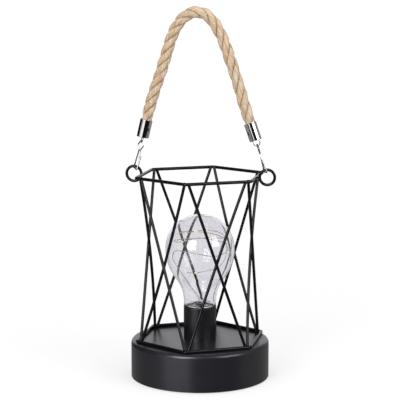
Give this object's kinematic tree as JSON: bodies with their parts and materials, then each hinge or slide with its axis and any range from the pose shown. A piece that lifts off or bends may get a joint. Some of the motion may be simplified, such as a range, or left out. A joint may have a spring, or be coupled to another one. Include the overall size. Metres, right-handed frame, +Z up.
{
  "type": "lantern table lamp",
  "caption": "Wire-cage table lantern: a black drum base with a clear bulb on a short holder, a hexagonal cage of crossed wires and a rope carrying handle on two ring lugs",
  "frame": {"origin": "on the table under the middle of the drum base", "axes": "+Z up, along the lamp's axis; -Y towards the front as it is pictured; +X to the right"},
  "size_m": [0.1296, 0.12, 0.3205],
  "materials": {
    "black_paint": "satin black powder coat",
    "holder_black": "satin black moulding",
    "black_plastic": "fine moulded grain",
    "plug_black": "matt black stopper",
    "black_rubber": "matt",
    "plated_steel": "bright plated",
    "screw_steel": "zinc plated",
    "clip_steel": "bright nickel-plated spring wire",
    "ferrule_chrome": "polished chrome",
    "clear_glass": "clear blown glass",
    "string_copper": "fine lacquered wire",
    "bead_resin": "pale yellow resin beads",
    "rope_jute": "natural laid jute",
    "cell_wrap": "plain dark wrap",
    "board_green": "solder mask",
    "lead_red": "insulated lead"
  },
  "bodies": {
    "lantern": {"base_shell": "black_paint", "cover_posts": "plated_steel", "bottom_cover": "black_plastic", "cover_screws": "screw_steel", "rubber_feet": "black_rubber", "battery_cell_1": "cell_wrap", "battery_cell_2": "cell_wrap", "battery_cell_3": "cell_wrap", "battery_contacts": "plated_steel", "battery_springs": "plated_steel", "circuit_board": "board_green", "switch_body": "plated_steel", "battery_leads": "lead_red", "bulb_leads": "lead_red", "lamp_holder": "holder_black", "holder_screws": "screw_steel", "bulb_glass": "clear_glass", "bulb_plug": "plug_black", "light_string": "string_copper", "light_beads": "bead_resin", "bottom_ring": "black_paint", "top_ring": "black_paint", "left_lug_ring": "black_paint", "right_lug_ring": "black_paint", "cage_wire_outer_1": "black_paint", "cage_wire_inner_1": "black_paint", "cage_wire_outer_2": "black_paint", "cage_wire_inner_2": "black_paint", "cage_wire_outer_3": "black_paint", "cage_wire_inner_3": "black_paint", "cage_wire_outer_4": "black_paint", "cage_wire_inner_4": "black_paint", "cage_wire_outer_5": "black_paint", "cage_wire_inner_5": "black_paint", "cage_wire_outer_6": "black_paint", "cage_wire_inner_6": "black_paint"},
    "left_clip": {"left_clip": "clip_steel"},
    "right_clip": {"right_clip": "clip_steel"},
    "handle": {"handle_rope": "rope_jute", "left_ferrule": "ferrule_chrome", "right_ferrule": "ferrule_chrome", "left_eye": "clip_steel", "right_eye": "clip_steel"},
    "knob": {"switch_knob": "black_plastic"},
    "door": {"battery_door": "black_plastic"}
  },
  "joints": [
    {"name": "left_clip_swing", "type": "hinge", "parent": "lantern", "child": "left_clip", "pos_m": [-0.05566, 0.01198, 0.18281], "axis": [0.9776, -0.2105, -0.0009], "range_deg": [-55, 55]},
    {"name": "right_clip_swing", "type": "hinge", "parent": "lantern", "child": "right_clip", "pos_m": [0.05529, -0.0119, 0.1827], "axis": [0.9776, -0.2105, -0.0009], "range_deg": [-55, 55]},
    {"name": "handle_fold", "type": "hinge", "parent": "left_clip", "child": "handle", "pos_m": [-0.05024, 0.01082, 0.20508], "axis": [0.9774, -0.2104, -0.0183], "range_deg": [-65, 65]},
    {"name": "switch_slide", "type": "slide", "parent": "lantern", "child": "knob", "axis": [1, 0, 0], "range_m": [0, 0.003]},
    {"name": "battery_door_hinge", "type": "hinge", "parent": "lantern", "child": "door", "pos_m": [-0.0252, 0, 0.0026], "axis": [0, 1, 0], "range_deg": [0, 85]}
  ],
  "couplings": [
    {"joint": "right_clip_swing", "follows": "left_clip_swing", "ratio": 1}
  ]
}
